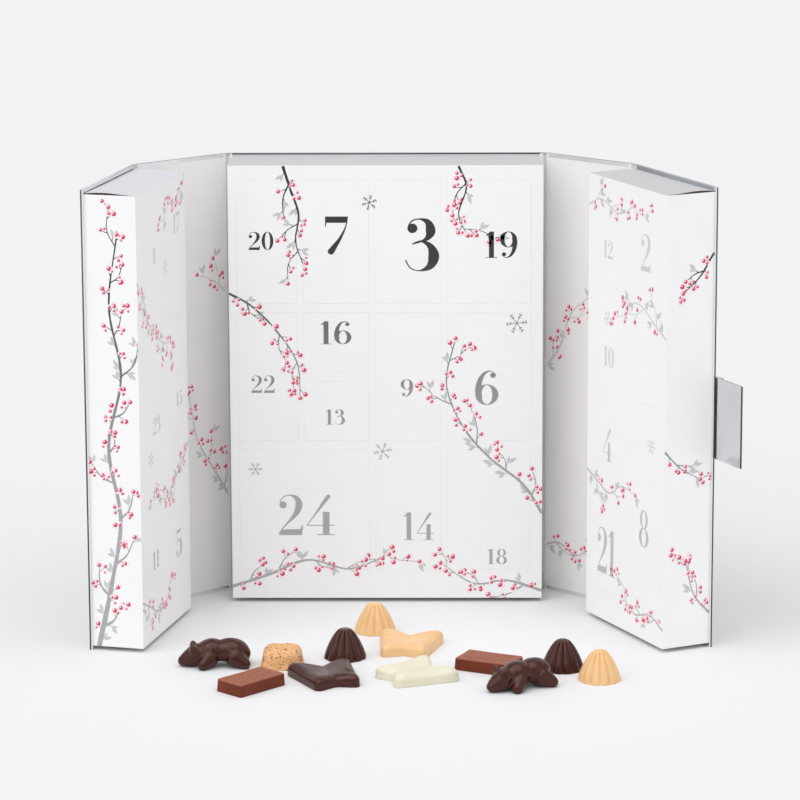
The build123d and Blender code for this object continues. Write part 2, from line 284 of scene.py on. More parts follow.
foil = foil_look("silver_foil", (0.80, 0.81, 0.83), (0.90, 0.905, 0.915))
tab_foil = foil_look("tab_foil", (0.66, 0.675, 0.70), (0.78, 0.785, 0.80))
# Painted reflections: the centre's foil darkens towards the top of the case, and the sides' foil lightens
# towards it.
stamped_foil = stamped_look("stamped_foil", [
    (0.0, (0.42, 0.42, 0.42)), (0.25, (0.42, 0.42, 0.43)), (0.46, (0.33, 0.33, 0.34)),
    (0.62, (0.17, 0.17, 0.18)), (0.78, (0.04, 0.04, 0.045)), (1.0, (0.03, 0.03, 0.035)),
])
pale_foil = stamped_look("pale_stamped_foil", [
    (0.0, (0.52, 0.52, 0.53)), (0.3, (0.58, 0.58, 0.59)), (0.6, (0.67, 0.67, 0.68)),
    (1.0, (0.67, 0.67, 0.68)),
])
# Painted shade and painted dark reflection: near-black for the gaps beside the lids and for the foil turned
# over the rims.
shade_and_reflection_crease = paper_look("foil_crease", (0.065, 0.055, 0.062), 0.4, 0.3)
# Grey tones for the foil turned over the covers' rims: painted reflection, with a lighter copy for the left
# cover.
rim_grey = paper_look("rim_foil", (0.36, 0.39, 0.41), 0.4, 0.1)
pale_rim = paper_look("pale_rim_foil", (0.60, 0.61, 0.63), 0.4, 0.06)
magnet_metal = paper_look("magnet_metal", (0.55, 0.55, 0.57), 0.35, 0.1)
grey_board = paper_look("grey_board", (0.40, 0.38, 0.36), 0.8, 0.12, 500.0)
liner = paper_look("liner_paper", (0.90, 0.882, 0.872), 0.6, 0.02)
carton_white = paper_look("carton_white", (0.93, 0.93, 0.935), 0.42, 0.012)
pale_lid = paper_look("pale_lid", (0.69, 0.685, 0.73), 0.5, 0.02)
grey_lid = paper_look("grey_lid", (0.585, 0.58, 0.605), 0.5, 0.02)
# Kraft of the carton's inside, darkened with painted shade for the gap under the lids.
kraft_and_painted_shade = paper_look("carton_inside", (0.060, 0.032, 0.016), 0.8, 0.3, 500.0)
film = film_look()
leaf_ink = ink_look("leaf_ink", (0.55, 0.56, 0.58))
berry_ink = ink_look("berry_ink", (0.60, 0.03, 0.09))
rose_ink = ink_look("rose_ink", (0.88, 0.42, 0.50))
blush_ink = ink_look("blush_ink", (0.93, 0.76, 0.80))
light_ink = ink_look("light_ink", (0.95, 0.92, 0.93))
dark_chocolate = chocolate_look(
    "dark_chocolate", (0.045, 0.008, 0.005), (0.036, 0.006, 0.004), 0.2, (1.0, 0.75, 0.7))
# The milk bars' last colour is painted light for their tops.
milk_chocolate = chocolate_look(
    "milk_chocolate", (0.165, 0.037, 0.019), (0.135, 0.029, 0.014), 0.5, (0.6, 0.3, 0.25),
    (0.33, 0.125, 0.080))
caramel_chocolate = chocolate_look(
    "caramel_chocolate", (0.84, 0.54, 0.27), (0.80, 0.48, 0.22), 0.3, (1.0, 0.95, 0.9))
white_chocolate = chocolate_look(
    "white_chocolate", (0.76, 0.73, 0.57), (0.72, 0.68, 0.52), 0.32, (1.0, 1.0, 0.95))
speckled = speckled_look()


def paint(mat, *node_names):
    """Give CAD nodes their material."""
    for node_name in node_names:
        mesh = cad_nodes[node_name].data
        mesh.materials.clear()
        mesh.materials.append(mat)


for panel_name in ("back", "left_spine", "left_cover", "right_spine", "right_cover"):
    paint(grey_board, panel_name + "_board")
    paint(foil, panel_name + "_foil")
    paint(liner, panel_name + "_liner")
for side_name in ("center", "left", "right"):
    paint(carton_white, side_name + "_carton", side_name + "_end_flaps")
    paint(film, side_name + "_pocket_tray")
for number in (*center_doors, *left_doors, *right_doors):
    paint(carton_white, "door_%02d" % number)
paint(milk_chocolate, "center_chocolates", "right_chocolates")
paint(dark_chocolate, "left_chocolates")
paint(grey_board, "closing_tab_board")
paint(tab_foil, "closing_tab_foil")
paint(foil, "tab_anchor")
paint(magnet_metal, "closing_tab_magnets", "left_cover_keepers")


# Flat faces of cartons and panels

class Face:
    """Flat face of a body, placed by its low left corner as the viewer sees it."""

    def __init__(self, name, body, corner, across, width, height):
        self.name = name
        self.body = body
        self.corner = corner
        self.across = across.normalized()
        self.out = self.across.cross(up)
        self.width = width
        self.height = height
        self.doors = {}

    def at(self, u, v, out=0.0):
        """Point on the face, u across and v up, all in millimetres."""
        return self.corner + (self.across * u + up * v + self.out * out) * MM


def grounded(point):
    """Point carried straight down to the floor."""
    return Vector((point.x, point.y, 0))


def carton_face(name, body, width, doors, column_shares):
    """Front of a carton, found from the creases of two of its doors."""
    by_column = {}
    for number, (first, _, _) in doors.items():
        by_column.setdefault(first, number)
    start, stop = (joint_place["door_%02d_hinge" % by_column[column]] for column in (0, 1))
    across = grounded(stop - start).normalized()
    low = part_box(name + "_end_flaps")[0][2]
    corner = Vector((start.x, start.y, low)) - across * column_shares[0][0] * width * MM
    face = Face(name, body, corner, across, width, carton_height)
    for number, (first, last, row) in doors.items():
        face.doors[number] = (
            width * column_shares[first][0], width * column_shares[last][1],
            carton_height * row_shares[row][0], carton_height * row_shares[row][1],
        )
    return face


def spine_face(panel):
    """Inner side of a spine, between the grooves of its two folds."""
    corner = panel.at(groove_half_width, 0, panel_thickness)
    width = spine_width - 2 * groove_half_width
    return Face(panel.name, panel.body, corner, panel.across, width, case_height)


center_front = carton_face("center", "case_back", center_carton_width, center_doors, center_column_shares)
left_front = carton_face("left", "left_cover", side_carton_width, left_doors, side_column_shares)
right_front = carton_face("right", "right_cover", side_carton_width, right_doors, side_column_shares)

# The free ends of the side cartons face the viewer
left_end = Face(
    "left_end", "left_cover", left_front.at(0, 0, -carton_depth), left_front.out,
    carton_depth, carton_height)
right_end = Face(
    "right_end", "right_cover", right_front.at(side_carton_width, 0), -right_front.out,
    carton_depth, carton_height)

# Outer faces of the panels, from one cover's free edge to the other's; out points to the case's inside
fold_names = ("left_cover", "left_spine", "right_spine", "right_cover")
edge_lines = [joint_place[name + "_fold"] for name in fold_names]
edge_lines.insert(0, edge_lines[0] - left_front.across * cover_width * MM)
edge_lines.append(edge_lines[-1] + right_front.across * cover_width * MM)
panel_bodies = ("left_cover", "left_spine", "case_back", "right_spine", "right_cover")
panels = []
for body, start, end in zip(panel_bodies, edge_lines, edge_lines[1:]):
    across = grounded(end - start)
    name = body.removeprefix("case_")
    panels.append(Face(name, body, grounded(start), across, across.length / MM, case_height))
left_cover, left_spine, back, right_spine, right_cover = panels


def new_object(name, points, faces, materials, smooth=False):
    """Mesh object; its faces have the first material."""
    mesh = bpy.data.meshes.new(name)
    mesh.from_pydata(points, [], faces)
    for mat in materials:
        mesh.materials.append(mat)
    for polygon in mesh.polygons:
        polygon.use_smooth = smooth
    piece = bpy.data.objects.new(name, mesh)
    bpy.context.collection.objects.link(piece)
    return piece


def thicken(piece, thickness, offset):
    """Make a sheet a solid, by a thickness in millimetres."""
    solid = piece.modifiers.new("thickness", "SOLIDIFY")
    solid.thickness = thickness * MM
    solid.offset = offset


def apply_modifiers(piece):
    """Make a piece's modifiers part of its mesh."""
    bpy.context.view_layer.objects.active = piece
    piece.select_set(True)
    for modifier_name in [modifier.name for modifier in piece.modifiers]:
        bpy.ops.object.modifier_apply(modifier=modifier_name)
    piece.select_set(False)


def turns(count):
    """Evenly spaced angles once round."""
    return [2 * pi * step / count for step in range(count)]


def ring_faces(count, levels):
    """Quads between rings of equally many points, from the first ring up."""
    faces = []
    for level in range(levels - 1):
        for index in range(count):
            low = level * count + index
            ahead = level * count + (index + 1) % count
            faces.append((low, ahead, ahead + count, low + count))
    return faces


def tube_faces(count, levels):
    """Faces of a closed tube: rings of quads, and one face across each end."""
    last = (levels - 1) * count
    ends = [tuple(range(count - 1, -1, -1)), tuple(range(last, last + count))]
    return ring_faces(count, levels) + ends


# Print: shapes are closed outlines in a face's millimetres, later ones on top

def smooth_line(points, steps):
    """Points of a Catmull-Rom line through the given ones, with any values they carry."""
    points = [Vector(point) for point in points]
    padded = [points[0] * 2 - points[1]] + points + [points[-1] * 2 - points[-2]]
    result = []
    for index in range(1, len(padded) - 2):
        before, start, stop, after = padded[index - 1:index + 3]
        for step in range(steps):
            t = step / steps
            result.append(
                0.5 * (2 * start + (stop - before) * t + (2 * before - 5 * start + 4 * stop - after) * t ** 2
                       + (3 * start - before - 3 * stop + after) * t ** 3))
    result.append(points[-1].copy())
    return result


def turned_area(shape):
    """Area of an outline, below zero where it runs clockwise."""
    pairs = zip(shape, shape[1:] + shape[:1])
    return sum(first.x * second.y - second.x * first.y for first, second in pairs) / 2


def turned(direction, angle):
    """Direction turned by an angle."""
    return Vector((
        direction.x * cos(angle) - direction.y * sin(angle),
        direction.x * sin(angle) + direction.y * cos(angle),
    ))


def ribbon(line):
    """Triangles along a line whose points are (x, y, width)."""
    sides = []
    for index, point in enumerate(line):
        ahead = line[min(index + 1, len(line) - 1)]
        behind = line[max(index - 1, 0)]
        along = Vector((ahead.x - behind.x, ahead.y - behind.y))
        if along.length == 0:
            continue
        along.normalize()
        half = Vector((-along.y, along.x)) * point.z / 2
        sides.append((point.xy + half, point.xy - half))
    triangles = []
    for first, second in zip(sides, sides[1:]):
        triangles.append([first[0], first[1], second[1]])
        triangles.append([first[0], second[1], second[0]])
    return triangles


def disc(center, radius, sides):
    """Round outline."""
    middle = Vector(center)
    return [middle + Vector((cos(angle), sin(angle))) * radius for angle in turns(sides)]


def oval(center, size, side, cap, steps=40):
    """Upright oval with thick sides and thin top and bottom, as quads."""
    outer, inner = (
        [Vector(center) + Vector((wide * cos(angle), tall * sin(angle))) for angle in turns(steps)]
        for wide, tall in ((size[0] / 2, size[1] / 2), (size[0] / 2 - side, size[1] / 2 - cap))
    )
    return [list(quad) for quad in zip(outer, outer[1:] + outer[:1], inner[1:] + inner[:1], inner)]


def box_outline(left, right, low, high):
    """Rectangle as an outline."""
    return [Vector((left, low)), Vector((right, low)), Vector((right, high)), Vector((left, high))]


def outline(*points):
    """Outline from plain pairs."""
    return [Vector(point) for point in points]


def stroke(points, steps=7):
    """Triangles along a smooth line through points of x, y and width."""
    return ribbon(smooth_line(points, steps))


# Numerals with strong stems and hair lines, drawn one unit high from the base line.
# Line points are x, y and width, as shares of the height.
two_line_share = [
    (0.10, 0.70, 0.02), (0.055, 0.79, 0.02), (0.13, 0.935, 0.025), (0.29, 0.985, 0.03), (0.45, 0.91, 0.11),
    (0.505, 0.74, 0.165), (0.43, 0.53, 0.12), (0.26, 0.33, 0.05), (0.11, 0.16, 0.028), (0.03, 0.035, 0.03),
]
three_high_share = [
    (0.10, 0.78, 0.02), (0.07, 0.84, 0.02), (0.14, 0.955, 0.025), (0.28, 0.99, 0.03), (0.42, 0.93, 0.11),
    (0.47, 0.77, 0.175), (0.42, 0.64, 0.10), (0.30, 0.565, 0.03), (0.14, 0.515, 0.022),
]
three_low_share = [
    (0.16, 0.53, 0.022), (0.30, 0.572, 0.03), (0.46, 0.48, 0.11), (0.525, 0.29, 0.195), (0.46, 0.10, 0.13),
    (0.28, 0.012, 0.026), (0.11, 0.06, 0.022), (0.02, 0.21, 0.024),
]
five_line_share = [
    (0.13, 0.52, 0.024), (0.24, 0.605, 0.035), (0.40, 0.60, 0.08), (0.515, 0.46, 0.165), (0.525, 0.27, 0.19),
    (0.45, 0.09, 0.12), (0.27, 0.012, 0.03), (0.11, 0.05, 0.022), (0.07, 0.14, 0.022),
]
six_line_share = [
    (0.50, 0.85, 0.02), (0.515, 0.91, 0.022), (0.42, 0.985, 0.024), (0.26, 0.93, 0.07), (0.135, 0.72, 0.13),
    (0.09, 0.44, 0.165), (0.115, 0.22, 0.165),
]
seven_line_share = [
    (0.57, 0.85, 0.022), (0.515, 0.66, 0.04), (0.40, 0.42, 0.075), (0.27, 0.22, 0.125), (0.19, 0.10, 0.16),
]
four_line_share = [
    (0.545, 0.955, 0.09), (0.45, 0.84, 0.09), (0.31, 0.64, 0.055), (0.16, 0.43, 0.03), (0.03, 0.245, 0.022),
]
hair_share = 0.022

# Advance width and outlines of each numeral
numerals = {
    0: (0.60, oval((0.30, 0.50), (0.58, 1.02), 0.16, hair_share)),
    1: (0.46, [
        outline((0.04, 0.84), (0.17, 0.875), (0.17, 1.0), (0.14, 0.95), (0.04, 0.865)),
        outline((0.14, 0.0), (0.315, 0.0), (0.315, 1.0), (0.17, 1.0), (0.14, 0.93)),
        box_outline(0.03, 0.43, 0.0, hair_share)]),
    2: (0.62, stroke(two_line_share) + [
        disc((0.125, 0.745), 0.085, 20),
        outline((0.015, 0.0), (0.57, 0.0), (0.60, 0.24), (0.575, 0.24), (0.53, 0.145), (0.10, 0.135))]),
    3: (0.64, stroke(three_high_share) + stroke(three_low_share) + [disc((0.145, 0.815), 0.09, 20)]),
    4: (0.70, stroke(four_line_share, 8) + [
        disc((0.535, 0.95), 0.05, 18), box_outline(0.02, 0.68, 0.23, 0.23 + hair_share),
        box_outline(0.40, 0.56, 0.0, 0.57), box_outline(0.28, 0.68, 0.0, hair_share)]),
    5: (0.62, stroke(five_line_share) + [
        outline((0.10, 1.0), (0.13, 0.99), (0.30, 0.965), (0.50, 0.99), (0.545, 1.0), (0.50, 0.88),
                (0.36, 0.845), (0.22, 0.86), (0.10, 0.90)),
        box_outline(0.10, 0.10 + hair_share, 0.50, 1.0), disc((0.13, 0.175), 0.08, 20)]),
    6: (0.64, stroke(six_line_share) + oval((0.315, 0.30), (0.60, 0.60), 0.16, hair_share)
        + [disc((0.475, 0.865), 0.075, 20)]),
    7: (0.62, stroke(seven_line_share, 8) + [
        outline((0.03, 1.0), (0.60, 1.0), (0.58, 0.835), (0.06, 0.835), (0.05, 0.73), (0.03, 0.73)),
        disc((0.172, 0.075), 0.082, 20)]),
    8: (0.62, oval((0.31, 0.755), (0.48, 0.51), 0.13, hair_share)
        + oval((0.31, 0.26), (0.60, 0.54), 0.165, hair_share)),
}
# A nine is a six turned upside down
six_advance, six_shapes = numerals[6]
nine_corner = Vector((0.63, 1.0))
numerals[9] = (six_advance, [[nine_corner - point for point in shape] for shape in six_shapes])
letter_gap_share = 0.05


def number_shapes(number, left, right, low, high):
    """Outlines of a whole number fitted into its box on a face."""
    pen = 0.0
    shapes = []
    for letter in str(number):
        advance, outlines = numerals[int(letter)]
        shapes.extend([[point + Vector((pen, 0)) for point in shape] for shape in outlines])
        pen += advance + letter_gap_share
    reaches = [point.x for shape in shapes for point in shape]
    start = min(reaches)
    stretch = (right - left) / (max(reaches) - start)
    return [
        [Vector((left + (point.x - start) * stretch, low + point.y * (high - low))) for point in shape]
        for shape in shapes
    ]


def inked(ink, shapes):
    """Shapes with their ink."""
    return [(ink, shape) for shape in shapes]


# Winter sprigs: foil stems with berries, leaves and small stars
leaf_length = 6.5
leaf_width = 2.4
leaf_width_shares = (0.0, 0.62, 0.95, 1.0, 0.80, 0.42, 0.0)
berry_radius = 1.35
bloom_share = 1.45
shine_share = 0.5
light_share = 0.24
leaf_twig_share = 0.3
side_berry_share = 0.7
twig_pitch = 6.5
branch_pitch = 24.0
knee_share = 0.45
branch_width_share = 0.7
stem_wobble = 0.35
wobble_scale = 0.3
star_line = 0.4
star_tip_line = 0.28
star_barb_share = 0.26


def leaf(base, angle, length, width):
    """Pointed oval leaf."""
    along = Vector((cos(angle), sin(angle))) * length / (len(leaf_width_shares) - 1)
    side = Vector((-sin(angle), cos(angle))) * width / 2
    upper, lower = (
        [base + along * index + side * hand * share for index, share in enumerate(leaf_width_shares)]
        for hand in (1, -1)
    )
    return upper + lower[-2:0:-1]


def berry(center, radius, rng):
    """Round berry with a pale bloom beside it and a small light."""
    bloom = Vector((rng.uniform(-0.7, 0.7), rng.uniform(-0.7, 0.7))) * radius
    light = Vector((-0.35, 0.35)) * radius
    return [
        (blush_ink, disc(center + bloom, radius * bloom_share, 16)),
        (berry_ink, disc(center, radius, 16)),
        (rose_ink, disc(center + light, radius * shine_share, 10)),
        (light_ink, disc(center + light * 1.1, radius * light_share, 8)),
    ]


def twig(foot, away, stem_ink, rng, back, front):
    """Short twig from a stem: a pair of leaves or a cluster of berries at its tip."""
    if rng.random() < leaf_twig_share:
        tip = foot + away * rng.uniform(1.5, 3.0)
        back.extend(inked(stem_ink, ribbon([Vector((*foot, 0.5)), Vector((*tip, 0.4))])))
        facing = atan2(away.y, away.x)
        for spread, share in ((-0.35, 1.0), (0.45, 0.75)):
            size = rng.uniform(0.85, 1.15) * share
            back.append((leaf_ink, leaf(tip, facing + spread, leaf_length * size, leaf_width * size)))
        return
    middle = foot + away * rng.uniform(2.0, 3.5)
    tip = middle + turned(away, rng.uniform(-0.4, 0.4)) * rng.uniform(1.5, 3.0)
    back.extend(inked(stem_ink, stroke([(*foot, 0.55), (*middle, 0.42), (*tip, 0.35)], 5)))
    front.extend(berry(tip, berry_radius * rng.uniform(0.85, 1.2), rng))
    side = Vector((-away.y, away.x))
    for hand in (1, -1):
        if rng.random() < side_berry_share:
            place = middle + side * hand * rng.uniform(1.6, 2.4) + away * rng.uniform(-0.5, 1.0)
            front.extend(berry(place, berry_radius * rng.uniform(0.55, 0.85), rng))


def sprig(points, start_width, end_width, seed, stem_ink, branches=True):
    """Stem through the points, with side branches, leaves and berries by turns on both sides."""
    rng = Random(seed)
    thinning = (end_width - start_width) / (len(points) - 1)
    line = smooth_line([(x, y, start_width + thinning * index) for index, (x, y) in enumerate(points)], 12)
    for point in line:
        place = Vector((point.x * wobble_scale, point.y * wobble_scale, seed))
        point.z *= 1 + stem_wobble * noise.noise(place)
    back = []
    front = []
    to_twig = twig_pitch / 2
    to_branch = branch_pitch / 2
    hand = 1
    for first, second in zip(line, line[1:]):
        step = second.xy - first.xy
        to_twig -= step.length
        to_branch -= step.length
        heading = step.normalized()
        foot = second.xy
        if to_branch < 0 and branches:
            to_branch = branch_pitch * rng.uniform(0.7, 1.3)
            hand = -hand
            away = turned(heading, hand * rng.uniform(0.55, 0.95))
            length = rng.uniform(13, 27)
            knee = foot + away * length * knee_share
            tip = knee + turned(away, -hand * rng.uniform(0.2, 0.6)) * length * (1 - knee_share)
            width = second.z * branch_width_share
            back.extend(sprig([foot, knee, tip], width, 0.4, seed * 7 + len(back), stem_ink, False))
        elif to_twig < 0:
            to_twig = twig_pitch * rng.uniform(0.7, 1.4)
            hand = -hand
            twig(foot, turned(heading, hand * rng.uniform(0.5, 1.0)), stem_ink, rng, back, front)
    front.extend(berry(line[-1].xy, berry_radius, rng))
    return back + inked(stem_ink, ribbon(line)) + front


def snow_star(center, radius, turn, ink):
    """Six-armed star of thin lines."""
    shapes = []
    middle = Vector(center)
    for arm in range(6):
        along = turned(Vector((1, 0)), turn + arm * pi / 3)
        lines = [(middle, middle + along * radius)]
        for share in (0.5, 0.78):
            foot = middle + along * radius * share
            for hand in (-1, 1):
                lines.append((foot, foot + turned(along, hand * pi / 4) * radius * star_barb_share))
        for start, end in lines:
            shapes.extend(inked(ink, ribbon([Vector((*start, star_line)), Vector((*end, star_tip_line))])))
    return shapes


print_thickness = 0.05
print_lift = 0.01
smallest_area = 0.0001
smallest_gap = 0.00001


def within(point, left, right, low, high):
    """Whether a point lies inside a rectangle."""
    return left < point.x < right and low < point.y < high


def leaf_span(left, right, low, high):
    """Rectangle of a door's leaf in its opening, which is creased along its left edge."""
    return left + crease_gap, right - slit_gap, low + slit_gap, high - slit_gap


def print_face(face, shapes, piece_name):
    """Cut the shapes along the doors and lay each part on its own body, as thin closed sheets."""
    points = []
    polygons = []
    inks = []
    edges = []

    def add_outline(outline_points):
        start = len(points)
        points.extend(outline_points)
        return list(range(start, len(points)))

    for ink, shape in shapes:
        area = turned_area(shape)
        if abs(area) >= smallest_area:
            polygons.append(add_outline(shape if area > 0 else shape[::-1]))
            inks.append(ink)
    whole = (0.0, face.width, 0.0, face.height)
    doors = []
    borders = [whole]
    for number, (left, right, low, high) in face.doors.items():
        opening = (left - crease_room, right, low, high)
        inner = leaf_span(left, right, low, high)
        doors.append(("door_%02d" % number, opening, inner))
        borders.extend([opening, inner])
    for border in borders:
        loop = add_outline(box_outline(*border))
        edges.extend(zip(loop, loop[1:] + loop[:1]))
    flat, _, triangles, _, _, sources = delaunay_2d_cdt(points, edges, polygons, 0, smallest_gap)
    parts = {}
    for triangle, owners in zip(triangles, sources):
        middle = sum((flat[index] for index in triangle), Vector((0, 0))) / 3
        if not owners or not within(middle, *whole):
            continue
        home = face.body
        for door, opening, inner in doors:
            if within(middle, *opening):
                home = door if within(middle, *inner) else None
        if home is not None:
            parts.setdefault(home, []).append((triangle, inks[max(owners)]))
    for home, faces in parts.items():
        used = sorted({index for triangle, _ in faces for index in triangle})
        renumber = {index: place for place, index in enumerate(used)}
        palette = list(dict.fromkeys(ink for _, ink in faces))
        piece = new_object(
            piece_name + "_" + home,
            [face.at(flat[index].x, flat[index].y, print_lift + print_thickness) for index in used],
            [[renumber[index] for index in triangle] for triangle, _ in faces], palette)
        for polygon, (_, ink) in zip(piece.data.polygons, faces):
            polygon.material_index = palette.index(ink)
        thicken(piece, print_thickness, offset=-1)
        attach(piece, home)


def number_prints(face, numbers, ink):
    """Foil numbers of one carton front."""
    shapes = []
    for number, box in numbers.items():
        shapes.extend(inked(ink, number_shapes(number, *box)))
    print_face(face, shapes, face.name + "_number")


def sprig_prints(face, ink, sprigs, stars=()):
    """All the sprigs and stars printed on one face.

    A sprig has its points in millimetres, its width at the start and the end, and a seed.
    A star has its middle, radius and turn."""
    shapes = []
    for points, start_width, end_width, seed in sprigs:
        shapes.extend(sprig(points, start_width, end_width, seed, ink))
    for center, radius, turn in stars:
        shapes.extend(snow_star(center, radius, turn, ink))
    print_face(face, shapes, face.name + "_print")


number_prints(center_front, center_numbers_mm, stamped_foil)
number_prints(left_front, left_numbers_mm, pale_foil)
number_prints(right_front, right_numbers_mm, pale_foil)
sprig_prints(center_front, stamped_foil, [
    ([(205, 58), (192, 78), (170, 96), (152, 118), (142, 146), (148, 176)], 2.0, 0.6, 3),
    ([(0, 206), (14, 198), (30, 182), (44, 160), (46, 136)], 1.5, 0.5, 5),
    ([(36, 290), (41, 274), (46, 258), (44, 240), (50, 222)], 1.8, 0.5, 8),
    ([(0, 8), (24, 16), (50, 26), (78, 20), (104, 30)], 2.2, 0.6, 12),
    ([(205, 5), (182, 12), (160, 10), (138, 24)], 1.8, 0.5, 15),
    ([(150, 290), (155, 276), (150, 258), (156, 244)], 1.4, 0.4, 21),
], [((100, 100), 6.0, 0.2), ((188, 186), 7.0, 0.1), ((92, 266), 5.0, 0.3), ((16, 88), 4.5, 0.0)])
sprig_prints(left_front, pale_foil, [
    ([(0, 236), (14, 220), (24, 204), (46, 190), (70, 184)], 1.8, 0.5, 31),
    ([(101, 112), (86, 102), (66, 92), (50, 86), (34, 92)], 1.6, 0.5, 33),
    ([(101, 290), (92, 276), (76, 274), (58, 276)], 1.2, 0.5, 34),
    ([(0, 30), (14, 24), (34, 16), (54, 20)], 1.5, 0.5, 36),
], [((58, 236), 5.5, 0.1), ((22, 118), 5.0, 0.3)])
sprig_prints(right_front, pale_foil, [
    ([(101, 200), (88, 206), (68, 216), (48, 214)], 1.5, 0.5, 41),
    ([(0, 96), (12, 92), (30, 86), (46, 94), (64, 92)], 1.6, 0.5, 43),
    ([(101, 12), (84, 18), (64, 14), (48, 22)], 1.6, 0.5, 44),
    ([(0, 270), (16, 276), (40, 270), (60, 278)], 1.4, 0.5, 46),
], [((26, 200), 5.0, 0.2), ((84, 128), 5.0, 0.0)])
sprig_prints(left_end, stamped_foil, [
    ([(4, 0), (13, 40), (20, 84), (13, 130), (22, 176), (15, 220), (21, 266)], 3.2, 0.8, 51),
])
sprig_prints(right_end, stamped_foil, [
    ([(33.5, 252), (24, 238), (12, 228)], 1.4, 0.5, 61),
    ([(0, 128), (12, 116), (26, 108)], 1.3, 0.5, 62),
    ([(33.5, 20), (22, 34), (16, 56)], 1.4, 0.5, 63),
])
sprig_prints(spine_face(left_spine), pale_foil, [
    ([(73, 60), (58, 84), (44, 108), (38, 140)], 1.8, 0.6, 71),
    ([(73, 200), (60, 212), (46, 218)], 1.3, 0.5, 72),
])
sprig_prints(spine_face(right_spine), pale_foil, [
    ([(-2, 150), (12, 168), (22, 192), (42, 208)], 1.8, 0.6, 74),
    ([(-2, 30), (12, 34), (28, 28), (46, 40)], 1.5, 0.5, 75),
])


# Leaves of the little doors, cut so finely that their slits hardly show
leaf_edge = 0.05


def door_leaf(face, number, opening):
    """Leaf of one door: a sheet with softened edges, level with the carton's front."""
    left, right, low, high = leaf_span(*opening)
    points = []
    for inset, depth in ((0, carton_board), (0, leaf_edge), (leaf_edge, 0)):
        corners = box_outline(left + inset, right - inset, low + inset, high - inset)
        points.extend(face.at(corner.x, corner.y, -depth) for corner in corners)
    node_name = "door_%02d" % number
    leaf_piece = new_object(node_name + "_leaf", points, tube_faces(4, 3), [carton_white])
    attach(leaf_piece, node_name)
    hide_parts(node_name)


for face in (center_front, left_front, right_front):
    for number, opening in face.doors.items():
        door_leaf(face, number, opening)


# Bowed lids on top of the cartons
lid_floor = 0.01
lid_thickness = 0.03
lid_columns = 40
lid_rows = 16
lid_arch_share = 0.65


def bowed_lid(face, rise_left, rise_right, rise_middle, mat):
    """Closed lid lying over a carton's end, lifted along its edge at the back and sides; its upright faces
    are dark kraft, partly the carton's inside and partly painted shade in the gap beneath the lid.
    """
    points = []
    for row in range(lid_rows + 1):
        back_share = row / lid_rows
        upper = []
        lower = []
        for column in range(lid_columns + 1):
            across = column / lid_columns
            bow = rise_left * (1 - across) ** 3 + rise_right * across ** 3 + rise_middle * sin(pi * across)
            arch = sin(pi * back_share ** 1.5)
            lift = lid_thickness + bow * (lid_arch_share * arch + (1 - lid_arch_share) * back_share)
            for line, rise in ((upper, lid_floor + lift), (lower, lid_floor)):
                line.append(face.at(face.width * across, carton_height + rise, -carton_depth * back_share))
        points.extend(upper + lower[::-1])
    count = 2 * (lid_columns + 1)
    last = lid_rows * count
    faces = ring_faces(count, lid_rows + 1)
    for column in range(lid_columns):
        rim = (column, column + 1, count - 2 - column, count - 1 - column)
        faces.append(rim[::-1])
        faces.append(tuple(last + index for index in rim))
    lid = new_object(face.name + "_lid", points, faces, [mat, kraft_and_painted_shade])
    for polygon in lid.data.polygons:
        if abs(polygon.normal.z) < 0.5:
            polygon.material_index = 1
    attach(lid, face.body)


bowed_lid(center_front, 0.2, 0.2, 0.3, grey_lid)
bowed_lid(left_front, 1.5, 0.2, 0.1, pale_lid)
bowed_lid(right_front, 0.2, 1.5, 0.1, grey_lid)

# Foil and liner paper over the folds, and the foil turned in at the ends of their grooves
foil_reach = 0.9
lining_reach = 4.0
lining_gap = 0.1
lining_turn = 0.15
lining_inset = 0.2
strip_steps = 8
strip_lift = 0.05
strip_thickness = 0.04
cap_steps = 5
cap_thickness = 0.1
cap_inset = 0.05
cap_gap = 0.1
cap_lift = 0.02


def foil_depth(reach):
    """Foil lies just outside the outer faces."""
    return -strip_lift


def lining_depth(reach):
    """Lining goes down the mitred edge to the foil at the fold and lies on the liner beyond it."""
    if reach > panel_thickness + lining_turn:
        return panel_thickness + strip_lift
    return max(foil_thickness + lining_gap, reach - lining_gap)


def fold_strip(name, joint_name, first, second, widest, depth, low, high, mat):
    """Strip of foil or paper that bends round a fold line, following the faces on both sides.

    depth gives how far inside the outer faces it lies at a distance from the fold."""
    middle = joint_place[joint_name]
    line = []
    for step in range(-strip_steps, strip_steps + 1):
        reach = widest * abs(step) / strip_steps
        toward, out = (second.across, second.out) if step > 0 else (-first.across, first.out)
        line.append(middle + (toward * reach + out * depth(reach)) * MM)
    points = [Vector((place.x, place.y, height * MM)) for height in (low, high) for place in line]
    count = len(line)
    faces = [(index, index + 1, count + index + 1, count + index) for index in range(count - 1)]
    strip = new_object(name, points, faces, [mat])
    thicken(strip, strip_thickness, offset=0)
    apply_modifiers(strip)
    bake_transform(strip)


def groove_cap(name, joint_name, first, second, height):
    """Turned-in foil that closes the end of a fold's groove."""
    middle = joint_place[joint_name]
    points = []
    for step in range(cap_steps + 1):
        reach = panel_thickness * step / cap_steps
        left, right = (
            grounded(middle + (toward * (reach + cap_gap) + out * (reach + cap_lift)) * MM)
            for toward, out in ((-first.across, first.out), (second.across, second.out))
        )
        low, high = (up * level * MM for level in (height, height + cap_thickness))
        points.extend([left + low, right + low, right + high, left + high])
    cap = new_object(name, points, tube_faces(4, cap_steps + 1), [foil])
    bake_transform(cap)


